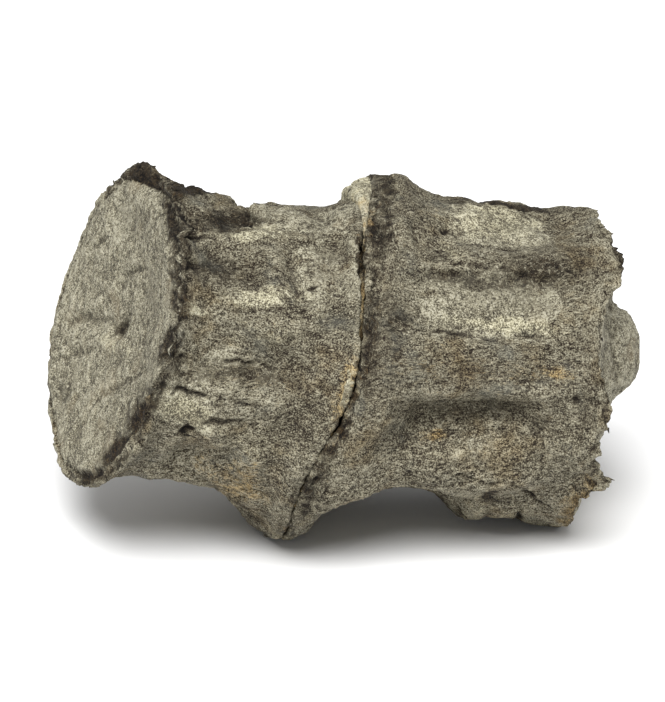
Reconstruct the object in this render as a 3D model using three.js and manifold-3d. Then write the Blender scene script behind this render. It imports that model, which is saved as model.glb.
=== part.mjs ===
// Two joined vertebrae of a large bony fish, turned to stone, with mudstone in their hollows.
// Each bone is a spool with a cup in both ends and eight long pits round its waist.
// Millimetres and degrees. The pair is shaped lying along x, with y up and z towards a viewer who
// looks down on it at a slant, and is then laid on the table, which is the plane z = 0.

import * as THREE from "three";
import { mergeVertices } from "three/addons/utils/BufferGeometryUtils.js";
import Module from "manifold-3d";

const wasm = await Module();
wasm.setup();

// Driving dimensions
const RIM_RADIUS = 25.6; // of a whole rim; a vertebra is about 51 across
const CUP_DEPTH = 11.5; // from the rim to the bottom of a cup
const RIM_WALL = 1.0; // bone left round a cup at its mouth, where it is thinnest
const GAP = 0.32; // between a bone and the stone next to it
const JOINT_GAP = 1.4; // between the two bones, at its narrowest
const VIEW_SLANT = 22; // the viewer looks down by this much
const TABLE_UNDER_JOINT = 27.9; // from the joint's centre straight down to the table
const DISH_DEPTH = 2.4; // of the stone's face in the front cup
const CORD_PIT = { deep: 1.4, out: 0.06 }; // in the middle of that face, out of its radius
const CAST_HEIGHT = 8.3; // how far the stone in the rear cup stands out of it
const CAST_RISE = 2.4; // of the cast's tip over the middle of the cup
const LUMP = 0.62; // height of the lumps on a bone's side, which stand about 9 apart
const CAKE_WIDE = 0.66; // how much of a pit's width its stone fills

// How finely the forms are divided
const STEPS_ROUND = 72;
const CAKE_STEPS = 24;
const CUP_ROWS = [0.3, 0.6, 0.85];
const SIDE_ROWS = [0, 0.03, 0.08, 0.14, 0.21, 0.29, 0.38, 0.47, 0.56, 0.65, 0.74, 0.82, 0.89, 0.95, 1];
const FACE_ROWS = [0.06, 0.14, 0.3, 0.48, 0.66, 0.83, 0.97];
const CAST_ROWS = [0.96, 0.78, 0.64, 0.5, 0.38, 0.26, 0.13];
const CAKE_ROWS = [0.25, 0.5, 0.75, 1];

const EDGE_SHARPNESS = 14; // how closely a shift in a rim keeps to its outer edge

const radians = THREE.MathUtils.degToRad;
const lerp = THREE.MathUtils.lerp;
const smooth = (value) => THREE.MathUtils.smoothstep(value, 0, 1);

// Angles run round the backbone: 0 faces the viewer, 90 is up the picture, 180 is the far side.
const turnBetween = (a, b) => ((((a - b) % 360) + 540) % 360) - 180;
const bump = (angle, at, wide) => Math.exp(-((turnBetween(angle, at) / wide) ** 2));
const sumOfBumps = (bumps, angle) =>
  bumps.reduce((sum, { at, wide, high }) => sum + high * bump(angle, at, wide), 0);

// A rim is a round edge that leans: its top stands lean.up further back along x than its centre,
// and its near side lean.near further back. Bumps change its radius, shifts push its outer edge
// along x, and walls thicken the bone round its cup.
const rims = {
  frontEnd: {
    centre: [-36.6, 5.3, 8.0],
    lean: { up: 4.4, near: 11.6 },
    radius: RIM_RADIUS,
    bumps: [
      { at: 96, wide: 10, high: 1.1 },
      { at: 74, wide: 10, high: -0.8 },
      { at: -40, wide: 22, high: -1.2 },
      { at: 160, wide: 30, high: -0.6 },
      { at: 216, wide: 30, high: -1.1 },
    ],
    shifts: [
      { at: 90, wide: 17, high: 2.0 },
      { at: -28, wide: 16, high: -1.4 },
      { at: -48, wide: 12, high: 1.6 },
      { at: 150, wide: 20, high: 1.2 },
      { at: 208, wide: 34, high: 1.4 },
    ],
    walls: [
      { at: 88, wide: 24, high: 1.9 },
      { at: -45, wide: 20, high: 1.8 },
      { at: -100, wide: 25, high: 0.8 },
      { at: 190, wide: 30, high: 0.9 },
    ],
  },
  joint: {
    centre: [-2.0, 0, 0],
    lean: { up: 7.2, near: 4.8 },
    radius: RIM_RADIUS + 3.2,
    bumps: [
      { at: 20, wide: 40, high: -0.8 },
      { at: 150, wide: 30, high: -1.0 },
      { at: 205, wide: 22, high: -0.6 },
    ],
    shifts: [
      { at: 45, wide: 24, high: -2.4 },
      { at: 0, wide: 10, high: 1.0 },
      { at: -15, wide: 13, high: 1.6 },
      { at: -45, wide: 24, high: -2.0 },
      { at: 160, wide: 35, high: 1.2 },
    ],
    walls: [{ at: 88, wide: 40, high: 0.6 }],
  },
  rearEnd: {
    centre: [39.4, -1.5, -3.6],
    lean: { up: 1.6, near: 1.2 },
    radius: RIM_RADIUS - 0.5,
    bumps: [
      { at: -112, wide: 24, high: 1.2 },
      { at: 40, wide: 25, high: 0.5 },
      { at: 140, wide: 18, high: 0.8 },
      { at: 185, wide: 25, high: -0.9 },
      { at: 222, wide: 14, high: 0.7 },
    ],
    shifts: [
      { at: 62, wide: 10, high: 1.2 },
      { at: 41, wide: 12, high: 3.8 },
      { at: -18, wide: 12, high: 2.5 },
      { at: -46, wide: 7, high: 4.2 },
      { at: -68, wide: 8, high: -1.2 },
      { at: -98, wide: 18, high: -2.2 },
      { at: 150, wide: 22, high: 1.6 },
      { at: 215, wide: 18, high: -1.4 },
    ],
    walls: [
      { at: 41, wide: 18, high: 1.6 },
      { at: -43, wide: 14, high: 1.4 },
      { at: 160, wide: 24, high: 1.2 },
    ],
  },
};

// Hollows in a bone's side. along is where one starts and ends, from 0 at the front rim to 1 at
// the rear rim; wide is its half width in degrees; soft is how much of it is sloping wall. A
// ridge has a depth below zero.
const frontHollows = {
  topDip: { at: 88, wide: 24, along: [0.0, 0.72], deep: 2.5, soft: 0.4 },
  topKnob: { at: 86, wide: 14, along: [0.12, 0.28], deep: -1.7, soft: 0.9 },
  upperPit: { at: 59, wide: 14, along: [0.1, 0.9], deep: 2.8, soft: 0.55 },
  middlePit: { at: 31, wide: 15, along: [0.56, 1.0], deep: 2.2, soft: 0.6 },
  middleGroove: { at: 25, wide: 12, along: [0.02, 0.6], deep: 1.4, soft: 0.7 },
  lowerPit: { at: -8, wide: 13, along: [0.03, 0.8], deep: 2.6, soft: 0.55 },
  edgeDip: { at: -28, wide: 12, along: [-0.02, 0.44], deep: 1.7, soft: 0.6 },
  underSlope: { at: -52, wide: 17, along: [0.06, 0.82], deep: 1.9, soft: 0.9 },
  underArch: { at: -104, wide: 44, along: [0.04, 0.93], deep: 5.2, soft: 0.75 },
  farUpperPit: { at: 107, wide: 14, along: [0.14, 0.88], deep: 3.4, soft: 0.55 },
  farMiddlePit: { at: 150, wide: 14, along: [0.12, 0.86], deep: 4.2, soft: 0.55 },
  farLowerPit: { at: 196, wide: 14, along: [0.12, 0.86], deep: 4.0, soft: 0.55 },
  rimHole: { at: 45, wide: 9, along: [0.0, 0.18], deep: 1.7, soft: 0.8 },
  sideHole: { at: 31, wide: 9, along: [0.06, 0.34], deep: 1.3, soft: 0.8 },
  paleLedge: { at: 19, wide: 8, along: [0.1, 0.72], deep: -1.1, soft: 0.9 },
  middleRidge: { at: 5, wide: 9, along: [0.04, 0.94], deep: -0.9, soft: 0.9 },
  lowerRidge: { at: -40, wide: 10, along: [0.2, 0.9], deep: -0.8, soft: 0.9 },
  farRidge: { at: 173, wide: 9, along: [0.08, 0.9], deep: -0.9, soft: 0.9 },
  farLedge: { at: 129, wide: 8, along: [0.2, 0.7], deep: -0.9, soft: 0.9 },
};
const rearHollows = {
  topShoulder: { at: 84, wide: 46, along: [-0.16, 0.28], deep: -1.2, soft: 0.6 },
  topRidge: { at: 87, wide: 15, along: [0.4, 1.15], deep: -1.7, soft: 0.8 },
  upperPit: { at: 62, wide: 16, along: [0.26, 0.8], deep: 3.2, soft: 0.6 },
  middlePit: { at: 24, wide: 17, along: [0.12, 0.88], deep: 4.2, soft: 0.55 },
  lowerPit: { at: -22, wide: 14, along: [0.12, 0.8], deep: 4.6, soft: 0.55 },
  underArch: { at: -88, wide: 40, along: [0.03, 0.66], deep: 6.0, soft: 0.45 },
  underPit: { at: -128, wide: 18, along: [0.1, 0.86], deep: 4.6, soft: 0.55 },
  farUpperPit: { at: 107, wide: 14, along: [0.2, 0.82], deep: 3.6, soft: 0.55 },
  farMiddlePit: { at: 152, wide: 15, along: [0.13, 0.86], deep: 4.4, soft: 0.55 },
  farLowerPit: { at: 197, wide: 14, along: [0.13, 0.86], deep: 4.4, soft: 0.55 },
  brokenRidge: { at: 43, wide: 10, along: [0.46, 1.0], deep: -1.1, soft: 0.9 },
  pitNotch: { at: 46, wide: 8, along: [0.14, 0.34], deep: 1.3, soft: 0.8 },
  middleRidge: { at: 0, wide: 9, along: [0.1, 0.92], deep: -1.0, soft: 0.9 },
  lowerRidge: { at: -46, wide: 10, along: [0.22, 0.92], deep: -1.0, soft: 0.9 },
  farRidge: { at: 175, wide: 9, along: [0.1, 0.9], deep: -1.0, soft: 0.9 },
  farLedge: { at: 130, wide: 9, along: [0.3, 0.8], deep: -0.9, soft: 0.9 },
};

// Each end flares out to its rim: flare gives how wide the level band next to the rim is, and how
// long the slope after it, as shares of the bone. rearTrim is where the rear rim is broken low.
const bones = {
  front: {
    front: rims.frontEnd,
    rear: rims.joint,
    rearTrim: [{ at: 92, wide: 32, high: -3.6 }],
    waist: 2.3,
    flare: { front: [0, 0.14], rear: [0, 0.16] },
    hollows: frontHollows,
  },
  rear: {
    front: rims.joint,
    rear: rims.rearEnd,
    rearTrim: [],
    waist: 1.9,
    flare: { front: [0.1, 0.22], rear: [0, 0.16] },
    hollows: rearHollows,
  },
};

const rimRadius = (rim, angle) => rim.radius + sumOfBumps(rim.bumps, angle);
const rimLean = (rim, angle) =>
  rim.lean.up * Math.sin(radians(angle)) + rim.lean.near * Math.cos(radians(angle));
const rimWall = (rim, angle) => RIM_WALL + sumOfBumps(rim.walls, angle);

// The space between the two bones, which is widest at the top and on the far side.
const jointSpace = (angle) =>
  JOINT_GAP + 3.0 * bump(angle, 86, 24) + 0.9 * bump(angle, 205, 35);

// Lumps, so that no stretch of the side is a clean sweep. Waves that cross at a slant make them:
// each goes along the bone and round it a number of times. They fade out at the rims.
const waves = [
  { along: 3.7, round: 4, start: 0.1, high: 0.55 },
  { along: 1.9, round: -11, start: 0.45, high: 0.6 },
  { along: -2.8, round: 13, start: 0.8, high: 0.5 },
  { along: 4.6, round: -7, start: 0.3, high: 0.35 },
];
const lumps = (part, angle) =>
  LUMP * smooth(8 * part) * smooth(8 * (1 - part)) *
  waves.reduce((sum, { along, round, start, high }) =>
    sum + high * Math.sin(2 * Math.PI * (along * part + (round * angle) / 360 + start)), 0);

// How deep a hollow is at a place on the side. Its outline is a long rounded box.
function hollowDepth({ at, wide, along, deep, soft }, part, angle) {
  const middle = (along[0] + along[1]) / 2;
  const a = Math.abs(part - middle) / (along[1] - middle);
  const b = Math.abs(turnBetween(angle, at)) / wide;
  const inside = 1 - Math.cbrt(a ** 3 + b ** 3);
  return deep * smooth(inside / soft);
}

function waistDepth(bone, part) {
  const [frontBand, frontSlope] = bone.flare.front;
  const [rearBand, rearSlope] = bone.flare.rear;
  const fromFront = smooth((part - frontBand) / frontSlope);
  const fromRear = smooth((1 - part - rearBand) / rearSlope);
  return bone.waist * fromFront * fromRear;
}

// The distance of a bone's side from the backbone's line, without the hollow named leftOut.
function sideRadius(name, part, angle, leftOut) {
  const bone = bones[name];
  const whole = lerp(endRadius(name, "front", angle), endRadius(name, "rear", angle), part);
  const cut = Object.entries(bone.hollows)
    .filter(([hollowName]) => hollowName !== leftOut)
    .reduce((sum, [, hollow]) => sum + hollowDepth(hollow, part, angle), 0);
  return whole - waistDepth(bone, part) - cut + lumps(part, angle);
}

// The front bone stops short of the joint's rim by the space between the bones.
const spaceBefore = (name, end, angle) =>
  name === "front" && end === "rear" ? jointSpace(angle) : 0;

// The radius of a bone's own end, and where the plane of that end lies along x at a radius.
const endRadius = (name, end, angle) =>
  rimRadius(bones[name][end], angle) +
  (end === "rear" ? sumOfBumps(bones[name].rearTrim, angle) : 0);
function endPlaneX(name, end, radius, angle) {
  const rim = bones[name][end];
  const out = radius / rimRadius(rim, angle);
  const space = lerp(spaceBefore(name, end, 0), spaceBefore(name, end, angle), out);
  return rim.centre[0] + out * rimLean(rim, angle) +
    out ** EDGE_SHARPNESS * sumOfBumps(rim.shifts, angle) - space;
}

const around = (x, centre, radius, angle) =>
  new THREE.Vector3(
    x,
    centre[1] + radius * Math.sin(radians(angle)),
    centre[2] + radius * Math.cos(radians(angle)),
  );

function sidePoint(name, part, angle, radius) {
  const bone = bones[name];
  const [x0, x1] = ["front", "rear"].map((end) =>
    endPlaneX(name, end, endRadius(name, end, angle), angle));
  const x = lerp(x0, x1, part);
  const centre = bone.front.centre.map((value, i) => lerp(value, bone.rear.centre[i], part));
  return around(x, centre, radius, angle);
}

// A point in a cup, or on the stone that fills it: out is 0 on the backbone's line and 1 at the
// cup's mouth, depth is measured into the bone, and inset draws the point in from the wall.
function cupPoint(name, end, out, depth, angle, inset) {
  const wall = rimWall(bones[name][end], angle) + inset;
  const radius = out * (endRadius(name, end, angle) - wall);
  const x = endPlaneX(name, end, radius, angle) + (end === "front" ? depth : -depth);
  return around(x, bones[name][end].centre, radius, angle);
}

// A cup is a cone with a slightly rounded wall. Stone that fills one keeps a gap to it.
const cupDepth = (out) => CUP_DEPTH * (1 - out ** 1.35);
const fillRow = (name, end) => (out) => ({
  pole: out === 0,
  place: (angle) => cupPoint(name, end, out, cupDepth(out) - GAP * 1.5, angle, GAP),
});

// A closed body from a lathe whose rings are then moved: each row of the profile has a function
// that places its points by their angle.
function turned(rows) {
  const profile = rows.map((row, i) => new THREE.Vector2(row.pole ? 0 : RIM_RADIUS, -i));
  const geometry = new THREE.LatheGeometry(profile, STEPS_ROUND);
  const position = geometry.getAttribute("position");
  for (let step = 0; step <= STEPS_ROUND; step++) {
    const angle = (360 * (step % STEPS_ROUND)) / STEPS_ROUND;
    rows.forEach((row, i) => {
      const point = row.place(row.pole ? 0 : angle);
      position.setXYZ(step * rows.length + i, point.x, point.y, point.z);
    });
  }
  return joined(geometry);
}

function joined(geometry) {
  geometry.deleteAttribute("normal");
  geometry.deleteAttribute("uv");
  return mergeVertices(geometry, 1e-3);
}

// Laid on the table: what would reach below it is worn flat.
const toTable = new THREE.Matrix4()
  .makeRotationX(radians(90 - VIEW_SLANT))
  .setPosition(0, 0, TABLE_UNDER_JOINT);

function layDown(geometry) {
  geometry.applyMatrix4(toTable);
  const position = geometry.getAttribute("position");
  for (let i = 0; i < position.count; i++)
    position.setZ(i, Math.max(0, position.getZ(i)));
  return geometry;
}

// A whole bone, or the same bone grown by swell on every side, to cut its neighbours with.
function boneGeometry(name, swell = 0) {
  const cup = (end, out) => ({
    pole: out === 0,
    place: (angle) =>
      cupPoint(name, end, out, cupDepth(out) - swell, angle, swell),
  });
  const side = (part) => ({
    place: (angle) => {
      const point = sidePoint(name, part, angle, sideRadius(name, part, angle) + swell);
      point.x += part === 0 ? -swell : part === 1 ? swell : 0;
      return point;
    },
  });
  const mouth = (end) => cup(end, 1);
  return turned([
    cup("front", 0),
    ...CUP_ROWS.map((out) => cup("front", out)),
    mouth("front"),
    ...SIDE_ROWS.map(side),
    mouth("rear"),
    ...CUP_ROWS.toReversed().map((out) => cup("rear", out)),
    cup("rear", 0),
  ]);
}

// Stone in the front cup: a cone that fills it, with a shallow dish for a face and a small pit
// in the middle where the backbone's cord ran.
function frontCupStone() {
  const face = (out) => ({
    pole: out === 0,
    place: (angle) => {
      const pit = CORD_PIT.deep * Math.exp(-((out / CORD_PIT.out) ** 2));
      return cupPoint("front", "front", out, DISH_DEPTH * (1 - out ** 2) + pit, angle, GAP);
    },
  });
  const fill = fillRow("front", "front");
  return turned([
    face(0),
    ...FACE_ROWS.map(face),
    ...[0.97, 0.7, 0.35].map(fill),
    fill(0),
  ]);
}

// Stone that stands out of the rear cup as a worn stub, a cast of the next vertebra's cup.
function rearCupStone() {
  const cast = (out) => ({
    pole: out === 0,
    place: (angle) => {
      const fuller = out * (0.3 * bump(angle, 55, 35) + 0.3 * bump(angle, 200, 50));
      const high = CAST_HEIGHT * (1 - smooth((out - 0.06) / 0.72)) * (1 + fuller);
      const point = cupPoint("rear", "rear", out, -high, angle, GAP);
      point.y += CAST_RISE * (1 - out);
      return point;
    },
  });
  const fill = fillRow("rear", "rear");
  return turned([
    fill(0),
    ...[0.25, 0.5, 0.75, 0.96].map(fill),
    ...CAST_ROWS.map(cast),
    cast(0),
  ]);
}

// Stone between the bones: it fills both facing cups, and its edge shows in the joint.
function jointStone() {
  const frontFill = fillRow("front", "rear");
  const rearFill = fillRow("rear", "front");
  const onPlane = (name, end, radiusAt) => ({
    place: (angle) => {
      const radius = radiusAt(angle);
      const x = endPlaneX(name, end, radius, angle) + (end === "rear" ? GAP : -GAP);
      return around(x, rims.joint.centre, radius, angle);
    },
  });
  const mouthOf = (name, end) => (angle) =>
    endRadius(name, end, angle) - rimWall(rims.joint, angle) - GAP;
  const outerEdge = (angle) => rimRadius(rims.joint, angle) - 0.9 * (1 - bump(angle, 88, 30));
  return turned([
    frontFill(0),
    ...CUP_ROWS.map(frontFill),
    onPlane("front", "rear", mouthOf("front", "rear")),
    onPlane("front", "rear", outerEdge),
    onPlane("rear", "front", outerEdge),
    onPlane("rear", "front", mouthOf("rear", "front")),
    ...CUP_ROWS.toReversed().map(rearFill),
    rearFill(0),
  ]);
}

// Stone left in a pit: a flat cake whose top stands a little under the bone round it. Its edge
// keeps to the floor of the pit, so that it isn't thin there.
function pitStone(name, hollowName, sunk, along) {
  const { at, wide } = bones[name].hollows[hollowName];
  const middle = (along[0] + along[1]) / 2;
  const place = (out, turn, top) => {
    const part = middle + (along[1] - middle) * out * Math.cos(turn);
    const angle = at + CAKE_WIDE * wide * out * Math.sin(turn);
    const over = sideRadius(name, part, angle, hollowName) - sunk;
    const under = sideRadius(name, part, angle) - 0.6;
    return sidePoint(name, part, angle, top ? Math.max(over, under + 0.02) : under);
  };
  const rows = [
    [0, false],
    ...CAKE_ROWS.map((out) => [out, false]),
    ...CAKE_ROWS.toReversed().map((out) => [out, true]),
    [0, true],
  ];
  const profile = rows.map(([out], i) => new THREE.Vector2(out, i));
  const geometry = new THREE.LatheGeometry(profile, CAKE_STEPS);
  const position = geometry.getAttribute("position");
  for (let step = 0; step <= CAKE_STEPS; step++)
    rows.forEach(([out, top], i) => {
      const turn = (2 * Math.PI * (step % CAKE_STEPS)) / CAKE_STEPS;
      const point = place(out, turn, top);
      position.setXYZ(step * rows.length + i, point.x, point.y, point.z);
    });
  return joined(geometry);
}

const toSolid = (geometry) =>
  new wasm.Manifold(
    new wasm.Mesh({
      numProp: 3,
      vertProperties: geometry.getAttribute("position").array,
      triVerts: new Uint32Array(geometry.index.array),
    }),
  );

// The largest closed body of a solid, as a geometry.
function toGeometry(solid) {
  const bodies = solid.decompose().sort((a, b) => b.volume() - a.volume());
  const mesh = bodies[0].getMesh();
  return new THREE.BufferGeometry()
    .setAttribute("position", new THREE.BufferAttribute(mesh.vertProperties, 3))
    .setIndex(new THREE.BufferAttribute(mesh.triVerts, 1));
}

function facesOut(geometry) {
  if (toSolid(geometry).volume() > 0) return geometry;
  const index = geometry.index.array;
  for (let i = 0; i < index.length; i += 3)
    [index[i + 1], index[i + 2]] = [index[i + 2], index[i + 1]];
  return geometry;
}

const boneMaterial = new THREE.MeshStandardMaterial({ color: 0x7d7361, roughness: 0.9, metalness: 0 });
const stoneMaterial = new THREE.MeshStandardMaterial({ color: 0x99927d, roughness: 0.95, metalness: 0 });

const specimen = new THREE.Group();

function add(name, geometry, material) {
  const mesh = new THREE.Mesh(layDown(facesOut(geometry)), material);
  mesh.name = name;
  specimen.add(mesh);
}

add("front_centrum", boneGeometry("front"), boneMaterial);
add("rear_centrum", boneGeometry("rear"), boneMaterial);
add("front_cup_stone", frontCupStone(), stoneMaterial);
add("joint_stone", jointStone(), stoneMaterial);
add("rear_cup_stone", rearCupStone(), stoneMaterial);

// Each stone in a pit: the bone, its hollow, how far its top lies under the bone round it, and
// the stretch that it fills.
const pitStones = {
  front_upper_pit_stone: ["front", "upperPit", 0.9, [0.45, 0.8]],
  front_middle_pit_stone: ["front", "middlePit", 0.6, [0.64, 0.92]],
  front_edge_stone: ["front", "edgeDip", 0.4, [0.04, 0.36]],
  front_far_middle_pit_stone: ["front", "farMiddlePit", 1.4, [0.22, 0.76]],
  rear_upper_pit_stone: ["rear", "upperPit", 1.0, [0.34, 0.72]],
  rear_middle_pit_stone: ["rear", "middlePit", 1.7, [0.22, 0.78]],
  rear_far_lower_pit_stone: ["rear", "farLowerPit", 1.5, [0.24, 0.76]],
};
const swollen = {
  front: toSolid(facesOut(boneGeometry("front", GAP))),
  rear: toSolid(facesOut(boneGeometry("rear", GAP))),
};
for (const [node, [name, hollowName, sunk, along]] of Object.entries(pitStones)) {
  const cake = toSolid(facesOut(pitStone(name, hollowName, sunk, along)));
  add(node, toGeometry(cake.subtract(swollen[name])), stoneMaterial);
}

// The origin is in the middle of the table under the pair.
const box = new THREE.Box3().setFromObject(specimen);
const middle = box.getCenter(new THREE.Vector3());
specimen.position.set(-middle.x, -middle.y, 0);

export default specimen;
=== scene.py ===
"""A pair of joined fossil fish vertebrae: worn fibrous bone with mudstone in its hollows.

Blender works in metres here, as the frame does. Shapes are reckoned in millimetres along the
backbone (along), up the picture (up) and towards the viewer (near), from the joint's centre.
"""

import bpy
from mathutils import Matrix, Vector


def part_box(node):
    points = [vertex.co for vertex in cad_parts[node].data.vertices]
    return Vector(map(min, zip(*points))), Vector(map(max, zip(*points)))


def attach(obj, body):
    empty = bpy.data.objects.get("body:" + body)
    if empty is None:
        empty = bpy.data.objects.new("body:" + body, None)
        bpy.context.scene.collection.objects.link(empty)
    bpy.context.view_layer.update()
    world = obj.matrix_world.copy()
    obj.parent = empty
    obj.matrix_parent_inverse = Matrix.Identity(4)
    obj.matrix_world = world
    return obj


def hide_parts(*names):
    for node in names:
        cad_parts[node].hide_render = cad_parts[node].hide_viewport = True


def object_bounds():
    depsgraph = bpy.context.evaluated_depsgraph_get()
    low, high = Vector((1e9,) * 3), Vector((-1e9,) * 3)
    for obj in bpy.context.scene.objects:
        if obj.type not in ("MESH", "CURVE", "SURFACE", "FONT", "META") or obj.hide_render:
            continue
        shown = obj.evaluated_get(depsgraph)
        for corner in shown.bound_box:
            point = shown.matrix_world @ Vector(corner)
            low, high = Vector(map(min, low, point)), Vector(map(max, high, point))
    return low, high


bl_info = {
    "name": "Fossil Vertebra Pair",
    "version": (1, 0, 0),
    "blender": (4, 5, 0),
    "location": "3D View > Sidebar > Fossil",
    "description": "Dresses a pair of joined fossil vertebrae and sets a table, lights and camera",
    "category": "Object",
}

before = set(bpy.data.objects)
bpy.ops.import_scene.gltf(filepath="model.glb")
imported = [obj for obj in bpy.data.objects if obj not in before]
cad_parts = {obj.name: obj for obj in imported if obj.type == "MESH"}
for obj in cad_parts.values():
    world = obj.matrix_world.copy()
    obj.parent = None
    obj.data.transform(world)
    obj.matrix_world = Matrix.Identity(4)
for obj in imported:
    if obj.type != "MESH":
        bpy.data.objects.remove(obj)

import itertools
import math
from copy import copy
from typing import NamedTuple

import bmesh
import bpy
import numpy as np
from bpy.props import FloatProperty, FloatVectorProperty, IntProperty, PointerProperty
from mathutils import Matrix, Vector
from mathutils.bvhtree import BVHTree

MM = 0.001
CAD_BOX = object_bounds()

# The lie of the pair, in millimetres and radians
VIEW_SLANT = math.radians(22)
JOINT_HEIGHT = 27.9
REAR_REACH = 45.13  # from the joint's centre to the far end of the rear bone, along the backbone
JOINT_BEHIND = 1.21  # the joint's centre stands this far behind the frame's origin
RIM_RADIUS = 25.6
EDGE_STONE_TURN = math.radians(3.5)  # stone hides the front rim opposite this turn, on the far side
JOINT_TOP_TURN = math.radians(84)  # the joint's stone is thick and bare about this turn
JOINT_TOP_SPREAD = math.radians(30)
SPINE_ALONG = (-36.6, -2.0, 39.4)
SPINE_UP = (5.3, 0.0, -1.5)
SPINE_NEAR = (8.0, 0.0, -3.6)
JOINT_AT = (
    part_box("rear_centrum")[1].x / MM - REAR_REACH,
    JOINT_BEHIND,
    JOINT_HEIGHT,
)
KEY_FROM = (-0.1, -0.64, 1.0)  # the way to the soft light
AIM_ALONG = -1.2  # where the camera looks, in millimetres from the joint's centre
AIM_UP = 1.44

# Where marks fade, in millimetres towards the viewer from the bone's middle line
VIEW_EDGE = (-7, 1)
FAR_GAP = 6  # moves the far side's marks back, so that they fade where the viewer's do

# How often points are averaged to find hollows, and how deep a full hollow is in millimetres; the
# materials use these hollows for painted shade in hollows and painted light on edges
BONE_HOLLOWS = ((2, 0.12), (14, 0.5))
STONE_HOLLOWS = ((3, 0.1), (25, 0.45))

SPLINTER_SIDES = 5
SPLINTER_POINT = 0.18  # a splinter's width at its tip, as a share of its width at its foot
SPLINTER_FLATNESS = 0.5
SPLINTER_FORWARD = 0.22  # its middle lies this share of its length ahead of its place
SPLINTER_SUNK = 0.3  # and this share of its width under the surface
SPLINTER_STRAY = 0.16  # how much its course strays
SPLINTERS_ACROSS = 0.65  # share of a rim's splinters that lie round it, not along the bone


class Rim(NamedTuple):
    """A round end of a bone: where it stands along the backbone, and how it leans."""

    along: float
    lean_up: float
    lean_near: float


FRONT_RIM = Rim(-36.6, 4.4, 11.6)
JOINT_RIM = Rim(-2.0, 7.2, 4.8)
REAR_RIM = Rim(39.4, 1.6, 1.2)


class Vertebra(NamedTuple):
    """A bone, its two rims, and the stones that have grown fast in it."""

    bone: str
    front: Rim
    rear: Rim
    cup_stone: str
    pit_stones: tuple


VERTEBRAE = {
    "front_vertebra": Vertebra(
        "front_centrum", FRONT_RIM, JOINT_RIM, "front_cup_stone",
        ("front_upper_pit_stone", "front_middle_pit_stone", "front_edge_stone",
         "front_far_middle_pit_stone"),
    ),
    "rear_vertebra": Vertebra(
        "rear_centrum", JOINT_RIM, REAR_RIM, "rear_cup_stone",
        ("rear_upper_pit_stone", "rear_middle_pit_stone", "rear_far_lower_pit_stone"),
    ),
}


class Pit(NamedTuple):
    """A hollow with stone left in it: degrees round the bone, and shares of the bone's length."""

    at: float
    wide: float
    start: float
    end: float
    cover: float


PITS = {
    "front_vertebra": [
        Pit(59, 13, 0.40, 0.94, 0.62),
        Pit(31, 15, 0.56, 1.04, 0.5),
        Pit(-8, 10, 0.04, 0.62, 0.45),
        Pit(-28, 10, -0.02, 0.36, 0.8),
        Pit(150, 15, 0.16, 0.84, 0.75),
    ],
    "rear_vertebra": [
        Pit(62, 16, 0.28, 0.78, 0.85),
        Pit(24, 16, 0.12, 0.82, 0.55),
        Pit(-22, 12, 0.14, 0.74, 0.3),
        Pit(197, 14, 0.16, 0.84, 0.75),
    ],
}


THIN_MARK = 0.7  # marks narrower than this, in millimetres, are cracks and are broken in places
TINTS = ("dark", "pale", "ochre")


class Mark(NamedTuple):
    """A spot or streak, placed as it is seen in the view: its middle, its half sizes, its tilt in
    degrees, how deep it is cut, and how dark, pale and ochre it is."""

    along: float
    up: float
    long: float
    wide: float
    tilt: float = 0
    deep: float = 0
    dark: float = 0
    pale: float = 0
    ochre: float = 0


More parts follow.
